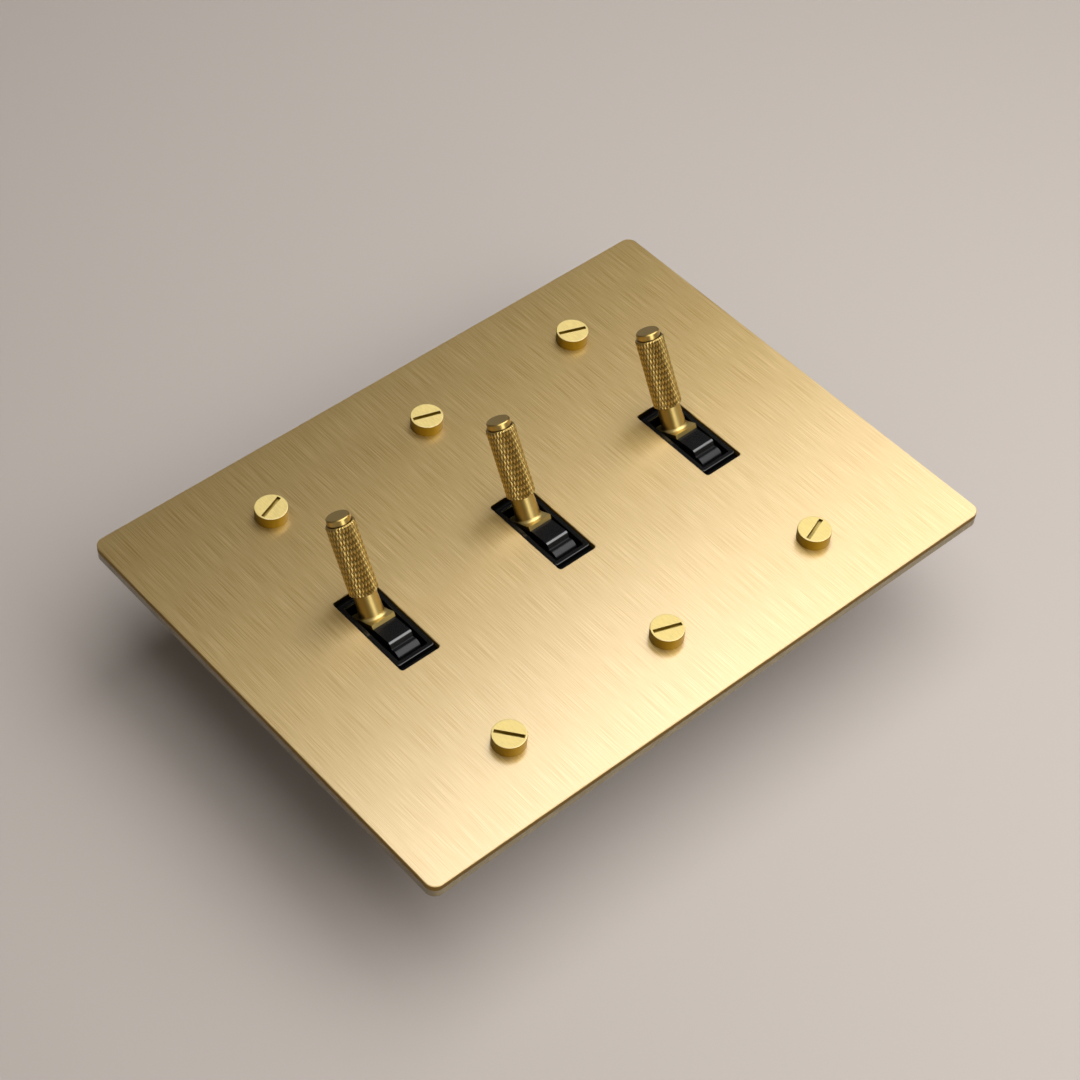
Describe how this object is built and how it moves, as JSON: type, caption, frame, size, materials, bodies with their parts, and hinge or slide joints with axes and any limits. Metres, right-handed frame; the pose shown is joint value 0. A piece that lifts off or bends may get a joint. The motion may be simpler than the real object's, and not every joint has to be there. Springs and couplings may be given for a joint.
{
  "type": "toggle light switch",
  "caption": "Wall light switch with a brushed brass plate on a clear backing, knurled toggle levers, slotted fixing screws and a snap switch behind each lever",
  "frame": {"origin": "Centre of the plate on the wall plane, which is the rear face of the clear backing", "axes": "+X along the plate's long side, +Y up on the wall, +Z out of the wall toward the user"},
  "size_m": [0.165, 0.121, 0.0563],
  "materials": {
    "brushed_brass": "brushed",
    "clear_acrylic": "clear",
    "screw_brass": "satin",
    "lever_brass": "satin",
    "knurled_brass": "knurled",
    "black_moulding": "matte",
    "rocker_moulding": "satin",
    "yellow_zinc_steel": "plated",
    "terminal_brass": "satin",
    "green_plated_steel": "gloss",
    "rivet_steel": "satin",
    "stud_steel": "satin",
    "spring_steel": "satin"
  },
  "bodies": {
    "housing": {"front_plate": "brushed_brass", "backing_plate": "clear_acrylic", "fixing_screws": "screw_brass", "terminal_screws": "terminal_brass", "earth_screws": "green_plated_steel", "body_rivets": "rivet_steel", "left_strap": "yellow_zinc_steel", "left_front_cover": "black_moulding", "left_base": "black_moulding", "left_line_terminal": "terminal_brass", "left_load_terminal": "terminal_brass", "left_snap_spring": "spring_steel", "middle_strap": "yellow_zinc_steel", "middle_front_cover": "black_moulding", "middle_base": "black_moulding", "middle_line_terminal": "terminal_brass", "middle_load_terminal": "terminal_brass", "middle_snap_spring": "spring_steel", "right_strap": "yellow_zinc_steel", "right_front_cover": "black_moulding", "right_base": "black_moulding", "right_line_terminal": "terminal_brass", "right_load_terminal": "terminal_brass", "right_snap_spring": "spring_steel"},
    "left_toggle": {"left_rocker": "rocker_moulding", "left_lever_foot": "lever_brass", "left_lever_grip": "knurled_brass", "left_lever_stud": "stud_steel"},
    "left_contact": {"left_contact_arm": "terminal_brass"},
    "middle_toggle": {"middle_rocker": "rocker_moulding", "middle_lever_foot": "lever_brass", "middle_lever_grip": "knurled_brass", "middle_lever_stud": "stud_steel"},
    "middle_contact": {"middle_contact_arm": "terminal_brass"},
    "right_toggle": {"right_rocker": "rocker_moulding", "right_lever_foot": "lever_brass", "right_lever_grip": "knurled_brass", "right_lever_stud": "stud_steel"},
    "right_contact": {"right_contact_arm": "terminal_brass"}
  },
  "joints": [
    {"name": "left_toggle_hinge", "type": "hinge", "parent": "housing", "child": "left_toggle", "pos_m": [-0.04604, 0, -0.0065], "axis": [1, 0, 0], "range_deg": [0, 56], "deforming": ["left_snap_spring"]},
    {"name": "left_contact_hinge", "type": "hinge", "parent": "housing", "child": "left_contact", "pos_m": [-0.04604, 0, -0.0245], "axis": [1, 0, 0], "range_deg": [-28, 0]},
    {"name": "middle_toggle_hinge", "type": "hinge", "parent": "housing", "child": "middle_toggle", "pos_m": [0, 0, -0.0065], "axis": [1, 0, 0], "range_deg": [0, 56], "deforming": ["middle_snap_spring"]},
    {"name": "middle_contact_hinge", "type": "hinge", "parent": "housing", "child": "middle_contact", "pos_m": [0, 0, -0.0245], "axis": [1, 0, 0], "range_deg": [-28, 0]},
    {"name": "right_toggle_hinge", "type": "hinge", "parent": "housing", "child": "right_toggle", "pos_m": [0.04604, 0, -0.0065], "axis": [1, 0, 0], "range_deg": [0, 56], "deforming": ["right_snap_spring"]},
    {"name": "right_contact_hinge", "type": "hinge", "parent": "housing", "child": "right_contact", "pos_m": [0.04604, 0, -0.0245], "axis": [1, 0, 0], "range_deg": [-28, 0]}
  ],
  "couplings": [
    {"joint": "left_contact_hinge", "follows": "left_toggle_hinge", "ratio": -0.5},
    {"joint": "middle_contact_hinge", "follows": "middle_toggle_hinge", "ratio": -0.5},
    {"joint": "right_contact_hinge", "follows": "right_toggle_hinge", "ratio": -0.5}
  ]
}
